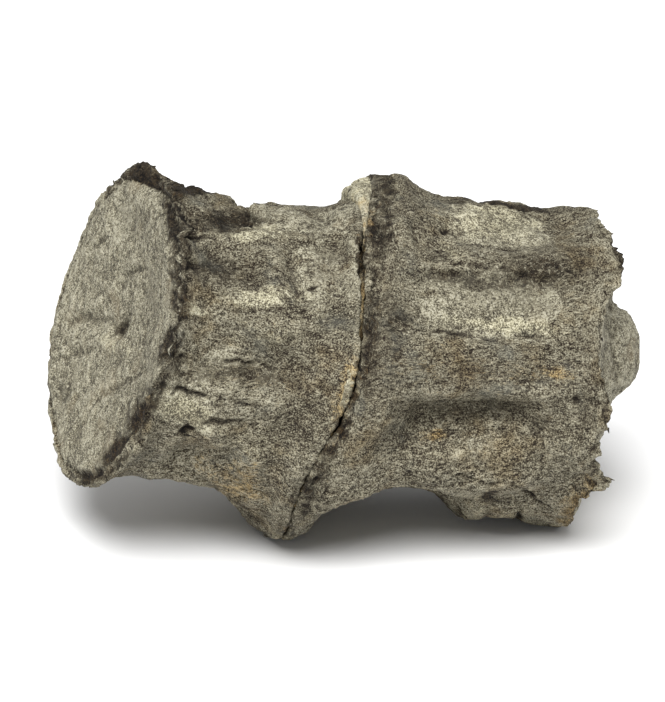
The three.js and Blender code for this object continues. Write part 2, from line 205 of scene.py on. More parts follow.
MARKS = {
    # Top spur of the front rim
    "spur_core": Mark(-31.4, 28.4, 7.4, 3.2, -36, 0.2, 1.1, 0, 0.3),
    "spur_tip": Mark(-33.4, 31.0, 4.0, 2.2, 0, 0, 1.2),
    "spur_stripe": Mark(-33.0, 27.4, 5.0, 0.8, -38, 0.5, 0, 0, 1.0),
    "spur_back": Mark(-28.4, 26.0, 2.2, 5.0, 25, 0.6, 1.1),
    "spur_root": Mark(-26.2, 21.0, 1.5, 6.4, 6, 0.7, 1.0),
    "knob_top": Mark(-23.6, 26.8, 4.2, 1.9, 0, -1.3, 1.1, 0, 0.4),
    # Front bone, from the top down
    "top_line": Mark(-15.6, 24.4, 6.6, 2.0, -2, -3.2, 0.2),
    # painted shade in the upper pit, with some ochre stain
    "upper_pit_wall": Mark(-17.4, 21.6, 6.8, 1.9, 0, 0.6, 0.8, 0, 0.3),
    "upper_pit_lip": Mark(-12.6, 19.4, 8.6, 1.5, 3, -0.4, 0, 0.6),
    "black_hole": Mark(-23.6, 20.0, 2.6, 0.9, -18, 2.4, 1.0),
    "black_notch": Mark(-22.8, 14.6, 1.8, 1.0, 0, 1.6, 0.9),
    # painted shade on the groove's upper wall, under the rough ridge
    "shade_under_rough_ridge": Mark(-19.4, 13.6, 6.0, 2.6, 0, 0.3, 0.62),
    "rough_spot": Mark(-24.2, 10.6, 1.0, 0.5, 0, 1.0, 0.9),
    "small_slot": Mark(-4.2, 11.4, 1.6, 0.45, 8, 0.8, 0.9),
    # painted light on the groove's lower wall, which faces up; its pale also gives it a crust of stone
    "bright_ledge": Mark(-12.4, 9.4, 8.8, 2.2, 4, -0.4, 0, 0.62),
    "smooth_hollow": Mark(-1.6, 14.2, 4.2, 4.8, 0, 0.3, 0.36),
    "ledge_shade": Mark(-13.2, 7.4, 6.4, 0.4, 6, 0.25, 0.6),
    "pink_patch": Mark(-22.6, 7.8, 3.6, 1.3, 4, -0.3, 0, 0.7, 0.35),
    "upper_crack": Mark(-17.4, -0.2, 9.0, 0.3, -6, 0.8, 0.65),
    "ridge_light": Mark(-12.6, 3.6, 11.0, 2.4, -2, 0, 0, 0.34),
    "groove_floor": Mark(-15.0, -2.2, 9.4, 2.2, -3, 0.7, 0.5, 0, 0.3),
    "flare_light": Mark(-14.4, -12.6, 8.4, 3.6, -14, 0, 0, 0.4),
    "lower_crack": Mark(-22.8, -5.0, 5.4, 0.5, -13, 1.2, 0.85),
    "lower_crack_tail": Mark(-14.6, -6.6, 3.0, 0.4, -20, 0.6, 0.7),
    "pale_patch": Mark(-24.2, -7.4, 4.8, 2.4, -8, -1.0, 0, 0.8),
    "dark_step": Mark(-18.0, -9.4, 4.6, 0.6, -6, 0.7, 0.7),
    "three_corner_pit": Mark(-24.0, -10.8, 1.3, 0.9, 20, 1.2, 1.0),
    "flare_stain": Mark(-16.0, -19.0, 6.0, 4.0, -30, 0, 0.15, 0, 0.6),
    "flare_edge": Mark(-17.0, -22.6, 8.0, 0.7, -38, 0.5, 0.6),
    "point_dark": Mark(-8.4, -27.0, 2.2, 1.8, -40, 0.3, 0.6, 0, 0.3),
    # Front rim, below
    "rim_break": Mark(-32.4, -8.8, 4.6, 2.4, 56, 0.9, 1.0, 0, 0.5),
    "rim_strip": Mark(-29.4, -0.6, 0.9, 2.6, -18, 0.4, 0.85),
    "rim_break_low": Mark(-37.0, -14.6, 4.4, 1.5, 44, 0.6, 0.9, 0, 0.4),
    "rim_foot": Mark(-40.4, -18.6, 4.2, 1.5, 8, 0.5, 0.9, 0, 0.3),
    "rim_line": Mark(-25.2, 9.0, 1.0, 13.0, 3, 0.9, 0.95),
    # Along the joint
    "joint_crack": Mark(3.1, 15.4, 0.5, 5.4, 4, 0.9, 0.9, 0, 0.5),
    "joint_line_high": Mark(5.2, 23.0, 0.4, 4.6, -12, 0.6, 0.5, 0, 0.7),
    "joint_strip": Mark(4.6, 2.2, 1.8, 10.0, -4, 0.3, 0.74, 0, 0.3),
    # painted shade down the side of the rim by the joint, which faces away from the light
    "joint_band": Mark(7.4, 6.0, 3.0, 17.0, -2, 0, 0.4),
    "joint_line": Mark(2.7, -1.0, 0.4, 9.5, -8, 0.8, 0.9),
    "joint_ochre": Mark(1.0, -4.6, 1.5, 9.0, -14, 0, 0, 0.5, 0.75),
    "lump_corner": Mark(0.4, 29.6, 1.9, 1.6, -50, 3.4),
    "joint_slot": Mark(0.3, -10.2, 0.8, 2.6, -18, 0.8, 1.0),
    "joint_hole_high": Mark(5.6, 12.4, 0.5, 0.5, 0, 1.2, 1.0),
    "joint_hole_low": Mark(4.2, 9.8, 0.45, 0.5, 0, 1.0, 1.0),
    "joint_foot_line": Mark(-6.0, -19.5, 0.6, 6.6, -28, 0.4, 0.6),
    "joint_foot_grey": Mark(-3.4, -17.0, 1.6, 8.0, -30, 0, 0, 0.35),
    # Rear bone, from the top down
    "rear_top_line": Mark(21.4, 24.4, 4.6, 3.0, -4, -2.2),
    "upper_pit_line": Mark(26.0, 24.4, 9.4, 0.8, -2, 0.2, 1.0),
    "upper_pit_floor": Mark(24.0, 21.4, 9.8, 3.2, -2, 0, 0, 0.6),
    "upper_pit_tail": Mark(16.6, 17.2, 4.4, 1.6, -24, 0, 0, 0.45),
    "pit_hole": Mark(16.0, 20.0, 1.1, 0.6, 30, 1.0, 0.9),
    "dark_ridge": Mark(31.0, 14.2, 9.4, 3.6, 0, 0.2, 0.66),
    "middle_pit_shade": Mark(23.0, 10.8, 10.0, 2.8, -5, 0, 0.36),
    "mid_ridge_shade": Mark(22.0, -1.8, 15.0, 3.4, -2, 0, 0.34, 0, 0.3),
    "right_rim_shade": Mark(39.6, -2.0, 4.0, 14.0, 0, 0, 0.34),
    "ridge_spot": Mark(28.8, 13.6, 1.7, 0.9, 10, 0.8, 0.9),
    "ridge_crack": Mark(21.0, 15.0, 7.0, 0.4, -10, 0.7, 0.65),
    # painted light on the groove's lower wall, which faces up; its pale also gives it a crust of stone
    "bright_wall": Mark(25.6, 5.4, 9.6, 1.3, -5, -0.3, 0, 0.85),
    "wall_edge": Mark(19.0, 3.8, 8.0, 0.35, -8, 0.6, 0.7),
    "wall_spot": Mark(9.6, 6.2, 2.4, 1.4, 0, 0.3, 0.65),
    # partly painted shade on the lower pit's upper wall, partly a dark line
    "lower_pit_wall": Mark(20.0, -7.8, 12.6, 1.7, 0, 1.4, 0.38),
    "lower_pit_brow": Mark(19.0, -5.0, 12.0, 1.2, 0, -0.8),
    "lower_pit_corner": Mark(31.0, -10.4, 3.0, 2.2, -30, 0.9, 0.45),
    "middle_pit_brow": Mark(22.0, 14.2, 11.6, 0.9, -3, -0.9, 0.15),
    # painted shade on the middle pit's upper wall
    "middle_pit_wall": Mark(22.0, 12.4, 11.0, 1.5, -5, 1.2, 0.5),
    "middle_pit_corner": Mark(31.4, 9.0, 3.4, 2.0, -50, 0.6, 0.3),
    "lower_pit_stain": Mark(15.2, -11.6, 2.4, 1.2, 0, 0, 0, 0, 0.8),
    "ridge_stain": Mark(33.6, -1.6, 3.2, 1.6, -10, 0, 0, 0, 0.7),
    "curved_crack": Mark(21.0, -18.6, 5.4, 0.28, -14, 0.8, 0.8),
    "curved_crack_end": Mark(30.0, -21.2, 4.4, 0.28, -34, 0.8, 0.8),
    "foot_spot": Mark(23.6, -21.6, 1.5, 1.0, 0, 0.4, 0.85),
    "rim_spot": Mark(36.8, -6.4, 0.6, 0.6, 0, 0.8, 0.9),
    "corner_break": Mark(37.6, -23.4, 2.6, 5.0, -28, 0.4, 0.5, 0, 0.8),
    "flange_light": Mark(24.0, -23.4, 9.0, 2.6, -4, 0, 0, 0.45),
    "flange_teeth": Mark(19.0, -24.6, 0.7, 1.8, 12, 0.6, 0.6),
    "flange_notch": Mark(23.4, -25.4, 0.6, 1.5, -10, 0.5, 0.5),
    "flange_gap": Mark(28.6, -25.6, 0.8, 1.4, 8, 1.4, 0.8),
    "chip": Mark(44.6, 15.4, 1.6, 4.4, 20, 0.3, 0.7),
    "rim_groove": Mark(41.0, -2.0, 0.4, 10.0, 4, 0.6, 0.6),
}

# Creases, chips, lumps and a small pit in the stone in each bone's cup, and breaks in its edge; the
# creases and chips are also painted darker, as painted shade
FACE_MARKS = {
    "front_vertebra": (
        Mark(-39.0, 6.6, 6.6, 0.8, -2, 0.6, 0.34),
        Mark(-35.0, 5.2, 1.3, 0.9, 0, 1.6, 0.8),
        Mark(-35.6, 2.4, 3.4, 1.4, -24, -1.1, 0, 0.5),
        Mark(-40.6, 8.8, 3.0, 1.4, 10, -0.8, 0, 0.2),
        Mark(-32.8, 15.4, 2.2, 1.2, 12, -0.8),
        Mark(-32.4, 14.1, 2.2, 0.5, 14, 0.6, 0.3),
        Mark(-43.0, 1.0, 4.0, 0.7, 16, 0.7, 0.3),
        Mark(-34.0, -3.4, 5.2, 0.7, 34, 0.9, 0.3),
        Mark(-38.0, -6.0, 5.0, 2.2, 50, -1.0, 0, 0.1),
        Mark(-40.0, -9.0, 5.0, 0.7, 56, 0.8, 0.3),
        Mark(-38.4, 19.0, 1.8, 0.8, 30, 0.8, 0.3),
        Mark(-33.6, 22.0, 4.6, 2.4, -60, 0.7, 0.22, 0, 0.2),
        Mark(-42.0, 14.0, 3.6, 2.6, 60, 0.9, 0.1),
        Mark(-30.0, 9.6, 1.9, 5.6, 4, 0.7, 0.3),
        Mark(-36.4, 11.6, 2.6, 1.1, -30, -0.6, 0, 0.15),
        Mark(-45.2, -8.0, 2.6, 5.0, 0, 0.8, 0.12, 0, 0.1),
        Mark(-26.4, 21.0, 0.9, 6.0, 14, 0.3, 0.95),
        Mark(-25.5, 11.0, 0.8, 6.4, 0, 0.3, 0.9),
        Mark(-27.0, 2.6, 0.8, 4.4, -22, 0.3, 0.85),
        Mark(-31.0, -8.0, 5.0, 2.2, 58, 1.8, 1.0, 0, 0.6),
        Mark(-35.2, -13.8, 4.8, 1.8, 46, 1.4, 0.95, 0, 0.5),
        Mark(-39.6, -18.6, 4.4, 1.6, 14, 1.0, 0.95, 0, 0.4),
    ),
    "rear_vertebra": (
        Mark(45.4, -8.0, 3.4, 3.6, 0, 2.6),
        Mark(45.0, 9.6, 2.0, 1.6, 0, 1.6, 0.3),
        Mark(45.6, 4.4, 1.6, 1.2, 20, -0.6, 0, 0.2),
        Mark(43.6, 0.6, 0.6, 6.0, 8, 0.8, 0.4),
    ),
}


class FarMark(NamedTuple):
    """A kind of mark for the far side: the ranges of its half sizes, how much its tilt varies in
    degrees, and what it does to the bone."""

    long: tuple
    wide: tuple
    tilt: float
    effect: dict


FAR_MARK_ALONG = (-36, 42)
FAR_MARK_UP = (-24, 24)
FAR_MARKS_OF_A_KIND = 16
FAR_MARK_KINDS = (
    FarMark((3, 9), (0.3, 0.6), 9, {"deep": 1.0, "dark": 0.85}),
    FarMark((2, 5), (1, 2.4), 14, {"deep": 0.3, "dark": 0.6}),
    FarMark((2, 6), (1, 2), 9, {"pale": 1.0, "ochre": 0.2}),
    FarMark((1, 4), (1, 2), 20, {"ochre": 0.8}),
)

SEED = 27
dice = np.random.default_rng(SEED)
SHUFFLE = dice.permutation(256)
SLOPES = dice.normal(size=(256, 3))
SLOPES /= np.linalg.norm(SLOPES, axis=1, keepdims=True)
CORNERS = [np.array(corner) for corner in itertools.product((0, 1), repeat=3)]
NEIGHBOURS = [np.array(step) for step in itertools.product((-1, 0, 1), repeat=3)]


def hashed(cells, layer=0):
    """A number from 0 to 255 for each whole-numbered cell."""
    first = SHUFFLE[(cells[:, 0] + 37 * layer) & 255]
    second = SHUFFLE[(first + cells[:, 1]) & 255]
    return SHUFFLE[(second + cells[:, 2]) & 255]


def noise(points, layer=0):
    """Smooth noise from about -1 to 1, with about one swing a unit. Each layer is a noise of its own."""
    cells = np.floor(points).astype(int)
    inside = points - cells
    fade = inside**3 * (inside * (inside * 6 - 15) + 10)
    total = np.zeros(len(points))
    for corner in CORNERS:
        share = np.prod(np.where(corner, fade, 1 - fade), axis=1)
        slope = SLOPES[hashed(cells + corner, layer)]
        total += share * np.einsum("ij,ij->i", slope, inside - corner)
    return total * 1.7


def rough_noise(points, layer=0, octaves=3, keep=0.55):
    """Noise with ever finer swings on top."""
    total = sum(keep**i * noise(points * 2**i, layer + i) for i in range(octaves))
    return total / sum(keep**i for i in range(octaves))


def creased(points, layer=0):
    """Rounded strands with sharp valleys between them, from -1 in a valley to about 1."""
    return 2.6 * np.abs(noise(points, layer)) - 1


def cell_spots(points, layer=0, share=0.3):
    """1 at the middle of a scattered spot, falling to 0 at its edge; share of the cells have one."""
    cells = np.floor(points).astype(int)
    best = np.zeros(len(points))
    for step in NEIGHBOURS:
        cell = cells + step
        key = hashed(cell, layer)
        middle = cell + 0.5 + 0.45 * SLOPES[key]
        size = 0.25 + 0.35 * (SHUFFLE[key] / 255)
        away = np.linalg.norm(points - middle, axis=1)
        here = (SHUFFLE[(key + 91) & 255] < 255 * share) * np.clip(1 - away / size, 0, 1)
        best = np.maximum(best, here)
    return best


def ramp(values, low, high):
    """0 below low, 1 above high, and smooth between."""
    t = np.clip((values - low) / (high - low), 0, 1)
    return t * t * (3 - 2 * t)


class Lie:
    """Where each point of a piece lies on the specimen, in millimetres and radians."""

    def __init__(self, points):
        offset = points / MM - np.array(JOINT_AT)
        self.along = offset[:, 0]
        self.up = offset[:, 1] * math.sin(VIEW_SLANT) + offset[:, 2] * math.cos(VIEW_SLANT)
        self.near = offset[:, 2] * math.sin(VIEW_SLANT) - offset[:, 1] * math.cos(VIEW_SLANT)
        out_up = self.up - np.interp(self.along, SPINE_ALONG, SPINE_UP)
        out_near = self.near - np.interp(self.along, SPINE_ALONG, SPINE_NEAR)
        self.angle = np.arctan2(out_up, out_near)
        self.radius = np.hypot(out_up, out_near)
        self.out_near = out_near
        self.round = np.stack(
            [self.along, RIM_RADIUS * np.sin(self.angle), RIM_RADIUS * np.cos(self.angle)], axis=1
        )
        self.place = offset

    def before(self, rim):
        """How far each point stands before a rim's plane."""
        out = self.radius / RIM_RADIUS
        lean = rim.lean_up * np.sin(self.angle) + rim.lean_near * np.cos(self.angle)
        return rim.along + out * lean - self.along

    def part(self, vertebra):
        """0 at a bone's front rim and 1 at its rear rim."""
        past_front = -self.before(vertebra.front)
        return past_front / np.maximum(past_front + self.before(vertebra.rear), 1.0)

    def seen_from_all_round(self):
        """The same places, for marks that don't keep to the side towards the viewer."""
        other = copy(self)
        other.out_near = np.full(len(self.along), RIM_RADIUS)
        return other

    def strands(self):
        """Places on the bone's side, bent a little so that its fibres wander."""
        broad = [noise(self.place / 9, layer) for layer in (1, 2, 3)]
        narrow = [noise(self.place / 2.6, layer) for layer in (4, 5, 6)]
        return self.round + 1.6 * np.stack(broad, axis=1) + 0.45 * np.stack(narrow, axis=1)


def marks_at(lie, marks):
    """How deep, dark, pale and ochre the marks are at each point of the side towards the viewer."""
    facing = ramp(lie.out_near, *VIEW_EDGE)
    wander = 0.6 * noise(lie.place / 4.2, 15)
    broken = 0.35 + 0.65 * ramp(noise(lie.place / 1.6, 16), -0.5, 0.15)
    ragged_along = 0.7 * noise(lie.place / 1.9, 11) + 0.35 * noise(lie.place / 0.8, 12)
    ragged_up = 0.5 * noise(lie.place / 1.9, 13) + 0.25 * noise(lie.place / 0.8, 14)
    effects = {"deep": 0, "dark": 0, "pale": 0, "ochre": 0}
    for mark in marks:
        turn = math.radians(mark.tilt)
        x = lie.along - mark.along + ragged_along * min(1, mark.long)
        y = lie.up - mark.up + wander + ragged_up * min(1, 1.4 * mark.wide)
        a = (x * math.cos(turn) + y * math.sin(turn)) / mark.long
        b = (y * math.cos(turn) - x * math.sin(turn)) / mark.wide
        here = facing * np.exp(-((a * a + b * b) ** 1.3))
        if mark.wide < THIN_MARK:
            here = here * broken
        effects["deep"] = effects["deep"] + here * mark.deep
        for kind in TINTS:
            effects[kind] = np.maximum(effects[kind], here * getattr(mark, kind))
    return effects


def far_marks():
    """Like marks, drawn at random, for the far side."""
    draw = np.random.default_rng(SEED + 1)
    marks = []
    for kind in FAR_MARK_KINDS * FAR_MARKS_OF_A_KIND:
        ranges = (FAR_MARK_ALONG, FAR_MARK_UP, kind.long, kind.wide)
        along, up, long, wide = (draw.uniform(*limits) for limits in ranges)
        marks.append(Mark(along, up, long, wide, draw.normal(0, kind.tilt), **kind.effect))
    return marks


def all_marks_at(lie):
    """The effects of the viewer's marks and of the far side's."""
    near_side = marks_at(lie, MARKS.values())
    turned = copy(lie)
    turned.out_near = -lie.out_near - FAR_GAP
    far_side = marks_at(turned, far_marks())
    return {kind: near_side[kind] + far_side[kind] for kind in near_side}


def pit_cover(lie, name):
    """How far stone covers the bone in and round its filled pits."""
    part = lie.part(VERTEBRAE[name])
    ragged = 0.3 * noise(lie.place / 4, 21) + 0.14 * noise(lie.place / 1.3, 22)
    cover = np.zeros(len(part))
    for pit in PITS[name]:
        middle = (pit.start + pit.end) / 2
        a = np.abs(part - middle) / (pit.end - middle)
        turn = (lie.angle - math.radians(pit.at) + math.pi) % (2 * math.pi) - math.pi
        b = np.abs(turn) / math.radians(pit.wide)
        inside = 1 - (a**3 + b**3) ** (1 / 3) + ragged
        cover = np.maximum(cover, pit.cover * ramp(inside, -0.1, 0.4))
    return cover


class Skin:
    """A piece's mesh as arrays, to be shaped and then put back."""

    def __init__(self, mesh):
        self.mesh = mesh
        self.points = np.empty((len(mesh.vertices), 3))
        mesh.vertices.foreach_get("co", self.points.ravel())
        self.edges = np.empty((len(mesh.edges), 2), dtype=np.int64)
        mesh.edges.foreach_get("vertices", self.edges.ravel())
        self.ends = np.concatenate([self.edges[:, 0], self.edges[:, 1]])
        self.others = np.concatenate([self.edges[:, 1], self.edges[:, 0]])
        self.count = np.maximum(np.bincount(self.ends, minlength=len(self.points)), 1)

    def normals(self):
        self.put_back()
        normals = np.empty_like(self.points)
        self.mesh.vertices.foreach_get("normal", normals.ravel())
        return normals

    def averaged(self, values, times):
        """Values spread to their neighbours, over and over."""
        for _ in range(times):
            spread = [
                np.bincount(self.ends, column[self.others], minlength=len(values))
                for column in np.atleast_2d(values.T)
            ]
            values = (0.5 * values.T + 0.5 * np.array(spread) / self.count).T.reshape(values.shape)
        return values

    def raise_by(self, heights):
        """Moves each point out by a height in millimetres."""
        self.points += self.normals() * heights[:, None] * MM

    def hollows(self, times, scale):
        """How deep each point lies under its smoothed neighbourhood, from -0.5 on an edge to 1."""
        sunk = np.einsum("ij,ij->i", self.averaged(self.points, times) - self.points, self.normals())
        return np.clip(sunk / (scale * MM), -0.5, 1)

    def put_back(self):
        """Keeps the points inside the solids' box and writes them to the mesh."""
        low, high = (np.array(corner) for corner in CAD_BOX)
        np.clip(self.points, low, high, out=self.points)
        self.mesh.vertices.foreach_set("co", self.points.ravel())
        self.mesh.update()

    def keep(self, name, values):
        """Stores a value, or a row of three, for each point."""
        kind = "FLOAT" if values.ndim == 1 else "FLOAT_VECTOR"
        field = "value" if values.ndim == 1 else "vector"
        attribute = self.mesh.attributes.new(name, kind, "POINT")
        attribute.data.foreach_set(field, values.astype(np.float32).ravel())

    def keep_tints(self, tints):
        """Stores how dark, pale and ochre each point is."""
        for kind in TINTS:
            self.keep(kind, np.clip(tints[kind], 0, 1))

    def keep_hollows(self, sizes):
        """Stores how sheltered each point is, in narrow and broad hollows together, for painted shade in
        hollows and painted light on edges.
        """
        self.keep("hollow", sum(0.6 * self.hollows(times, scale) for times, scale in sizes))


def solid_copy(node, swell=0.0):
    """A copy of a node's solid with its loose triangles joined, grown by swell metres."""
    bm = bmesh.new()
    bm.from_mesh(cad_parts[node].data)
    bmesh.ops.remove_doubles(bm, verts=bm.verts, dist=1e-6)
    bmesh.ops.join_triangles(
        bm, faces=bm.faces, angle_face_threshold=0.7, angle_shape_threshold=1.2
    )
    bm.normal_update()
    for vert in bm.verts:
        vert.co += vert.normal * swell
    return bm


def one_skin(name, copies, pitch):
    """One finely and evenly divided skin round several solids, as a new object."""
    mesh = bpy.data.meshes.new(name)
    together = bmesh.new()
    for solid in copies:
        solid.to_mesh(mesh)
        together.from_mesh(mesh)
        solid.free()
    together.to_mesh(mesh)
    together.free()
    piece = bpy.data.objects.new(name, mesh)
    bpy.context.scene.collection.objects.link(piece)
    grid = piece.modifiers.new("Grid", "REMESH")
    grid.mode = "VOXEL"
    grid.voxel_size = pitch * 1
    ready = piece.evaluated_get(bpy.context.evaluated_depsgraph_get())
    skin = bpy.data.meshes.new_from_object(ready)
    piece.modifiers.clear()
    piece.data = skin
    bpy.data.meshes.remove(mesh)
    return piece


def distance_to(points, nodes, reach):
    """The distance in millimetres from each point to the nearest of some solids, up to reach."""
    nearest = np.full(len(points), reach)
    for node in nodes:
        solid = solid_copy(node)
        tree = BVHTree.FromBMesh(solid)
        solid.free()
        low, high = (np.array(corner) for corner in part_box(node))
        close = np.all((points > low - reach * MM) & (points < high + reach * MM), axis=1)
        for i in np.flatnonzero(close):
            found = tree.find_nearest(points[i], reach * MM)
            if found[3] is not None:
                nearest[i] = min(nearest[i], found[3] / MM)
    return nearest


def finish_piece(piece, nodes, material):
    """Gives a shaped piece its finish and its place in the model."""
    piece.data.materials.clear()
    piece.data.materials.append(material)
    piece.data.shade_smooth()
    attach(piece, "root")
    if nodes:
        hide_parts(*nodes)


def bone_relief(lie, part, look):
    """The height of a bone's fibres, flakes, pores and cracks over its plain solid, how far its
    fibres run round the rims, and the places that they follow."""
    strands = lie.strands()
    rings = np.maximum(1 - ramp(part, 0.02, 0.09), ramp(part, 0.9, 0.97))
    rings = np.clip(rings + 0.4 * noise(lie.place / 5, 31) * rings, 0, 1)
    rough = 0.3 + 0.7 * ramp(noise(lie.place / 7, 30), -0.3, 0.4)
    fibres = sum(
        share * (
            (1 - rings) * creased(strands / np.array([3.4 * width, width, width]), layer)
            + rings * creased(strands / np.array([width, 3 * width, 3 * width]), layer + 1)
        )
        for share, width, layer in ((0.5, 1.5, 32), (0.5, 0.8, 34))
    )
    grain = 0.55 * noise(lie.place / 1.25, 27) + 0.6 * noise(lie.place / 0.7, 28)
    swell = 0.6 * noise(lie.place / 4.4, 36) + 0.5 * noise(lie.place / 2.1, 37)
    steps = 2.4 * rough_noise(lie.place / np.array([6.5, 3.6, 3.6]), 38, 4, 0.62)
    level = np.floor(steps) + ramp(steps - np.floor(steps), 0.36, 0.64)
    split = np.abs(rough_noise(strands / np.array([8, 2.6, 2.6]), 42, 2))
    torn = ramp(noise(lie.place / 6, 43), 0.1, 0.45)
    cracks = torn * (1 - ramp(split, 0.01, 0.05))
    pores = cell_spots(lie.place / 3.0 + 0.2 * grain[:, None], 44, 0.14)
    height = rough * look.fibre_height / MM * fibres
    height += rough * look.grain_height / MM * grain
    height += look.lump_height / MM * swell
    height += look.flake_step / MM * (level - 0.9 * steps)
    height -= look.crack_depth / MM * cracks
    height -= look.pore_depth / MM * pores
    return height, rings, strands


def stone_relief(lie, look):
    """The height of the stone's lumps, chips and grains."""
    swell = rough_noise(lie.place / 7, 61)
    chips = 2.0 * rough_noise(lie.place / 5.5, 64, 4, 0.6)
    level = np.floor(chips) + ramp(chips - np.floor(chips), 0.38, 0.62)
    grain = rough_noise(lie.place / 1.1, 67, 2)
    height = look.lump_height / MM * swell + look.grain_height / MM * grain
    return height + look.chip_step / MM * (level - 0.9 * chips)


def build_vertebra(name, bone_look, stone_look, material):
    """One worn vertebra with the stone in it: fibres, flakes, cracks and broken rims."""
    vertebra = VERTEBRAE[name]
    stones = (vertebra.cup_stone, *vertebra.pit_stones)
    copies = [solid_copy(vertebra.bone)] + [solid_copy(node, stone_look.swell) for node in stones]
    piece = one_skin(name, copies, bone_look.pitch)
    skin = Skin(piece.data)
    lie = Lie(skin.points)
    part = lie.part(vertebra)

    ragged = 0.25 * noise(lie.place / 4.5, 23) + 0.1 * noise(lie.place / 1.7, 24)
    in_cup = 1 - ramp(distance_to(skin.points, [vertebra.cup_stone], 2.5) + ragged, 0.55, 0.95)
    in_pit = 1 - ramp(distance_to(skin.points, vertebra.pit_stones, 2.5) + 2 * ragged, 0.7, 1.6)
    at_joint = 1 - ramp(distance_to(skin.points, ["joint_stone"], 2.0), 0.6, 1.0)
    on_rim = ramp(lie.radius / RIM_RADIUS, 0.88, 0.95)
    at_front = (1 - ramp(part, 0.0, 0.05)) * on_rim
    marks = all_marks_at(lie)
    face = marks_at(lie.seen_from_all_round(), FACE_MARKS[name])
    if vertebra.front is FRONT_RIM:
        edge_stone = at_front * ramp(-np.cos(lie.angle - EDGE_STONE_TURN), 0.32, 0.53)
    else:
        edge_stone = np.zeros(len(part))
    patchy = 0.55 + 0.45 * noise(lie.place / 2.2, 25)
    seam = 4 * in_cup * (1 - in_cup) * (1 - edge_stone)
    edge_dark = patchy * np.maximum(at_front * (1 - edge_stone) * (1 - in_cup), seam)
    edge_dark = np.maximum(edge_dark, 0.9 * patchy * at_joint * on_rim)
    stony = 0.85 * ramp(marks["pale"], 0.3, 0.65)
    crust = np.maximum.reduce([pit_cover(lie, name), 0.6 * in_pit, stony])
    bare = ramp(face["dark"], 0.5, 0.9)
    cover = np.clip(np.maximum.reduce([crust, in_cup, edge_stone]) - bare, 0, 1)

    skin.points = skin.averaged(skin.points, 2)
    softer = skin.averaged(skin.points, 8)
    filled = skin.averaged(softer, 13)
    inside = np.maximum(ramp(part, 0.03, 0.1) * ramp(1 - part, 0.03, 0.1), in_cup)
    skin.points += (softer - skin.points) * inside[:, None]
    skin.points += (filled - skin.points) * in_pit[:, None]
    height, rings, strands = bone_relief(lie, part, bone_look)
    own = height * (1 - cover) + stone_relief(lie, stone_look) * cover + 0.3 * height * crust
    own -= bone_look.mark_depth / MM * (marks["deep"] * (1 - in_cup) + face["deep"] * in_cup)
    own -= bone_look.seam_depth / MM * seam
    hidden = at_joint * (1 - on_rim)
    at_end = np.maximum(1 - ramp(part, 0.0, 0.03), ramp(part, 0.97, 1.0)) * on_rim
    torn = noise(lie.place / 3.2, 51) + 0.7 * noise(lie.place / 1.2, 52)
    chipped = at_end * (1 - at_joint) * (1 - 0.7 * edge_stone)
    own -= bone_look.rim_break / MM * chipped * np.clip(noise(lie.place / 2.0, 53) + 0.2, 0, 1)
    skin.raise_by(own * (1 - hidden) + bone_look.joint_close / MM * at_joint * on_rim)
    skin.points[:, 0] += bone_look.rim_break * chipped * torn
    skin.put_back()

    tints = {kind: marks[kind] * (1 - in_cup) + face[kind] * in_cup for kind in TINTS}
    tints["dark"] = np.maximum(tints["dark"], edge_dark)
    skin.keep("strands", strands)
    skin.keep("rings", rings)
    skin.keep("cover", cover)
    skin.keep_tints(tints)
    skin.keep_hollows(BONE_HOLLOWS)
    finish_piece(piece, (vertebra.bone, *stones), material)


def build_joint_stone(look, material):
    """The stone between the bones: sunk in the joint, but thick and bare at the top."""
    piece = one_skin("joint_mudstone", [solid_copy("joint_stone", look.swell)], look.pitch)
    skin = Skin(piece.data)
    lie = Lie(skin.points)
    marks = all_marks_at(lie)
    skin.points = skin.averaged(skin.points, 12)
    top = np.exp(-(((lie.angle - JOINT_TOP_TURN) / JOINT_TOP_SPREAD) ** 2))
    edge = ramp(lie.radius / RIM_RADIUS, 0.92, 1.0)
    cut = look.mark_depth / MM * marks["deep"]
    skin.raise_by((stone_relief(lie, look) + 0.3 * top - cut) * edge)
    out = skin.points - np.array(JOINT_AT) * MM
    out[:, 0] = 0
    out /= np.linalg.norm(out, axis=1, keepdims=True) + 1e-9
    skin.points -= out * (edge * (1 - top) * look.joint_sunk)[:, None]
    skin.put_back()
    own = {"dark": 0.45 * (1 - top), "pale": 0.7 * top, "ochre": 0.6 * (1 - top)}
    skin.keep_tints({kind: np.maximum(marks[kind], own[kind]) for kind in TINTS})
    skin.keep_hollows(STONE_HOLLOWS)
    finish_piece(piece, ["joint_stone"], material)


def add_splinter(bm, foot, out, course, length, width):
    """A flattened spike that lies along its course on the bone, with out pointing off the bone."""
    side = course.cross(out).normalized()
    turn = Matrix((side, side.cross(course), course)).transposed().to_4x4()
    middle = foot + course * length * SPLINTER_FORWARD - out * width * SPLINTER_SUNK
    flatten = Matrix.Diagonal((1.0, SPLINTER_FLATNESS, 1.0, 1.0))
    bmesh.ops.create_cone(
        bm, cap_ends=True, cap_tris=True, segments=SPLINTER_SIDES, radius1=width,
        radius2=width * SPLINTER_POINT, depth=length,
        matrix=Matrix.Translation(middle) @ turn @ flatten,
    )


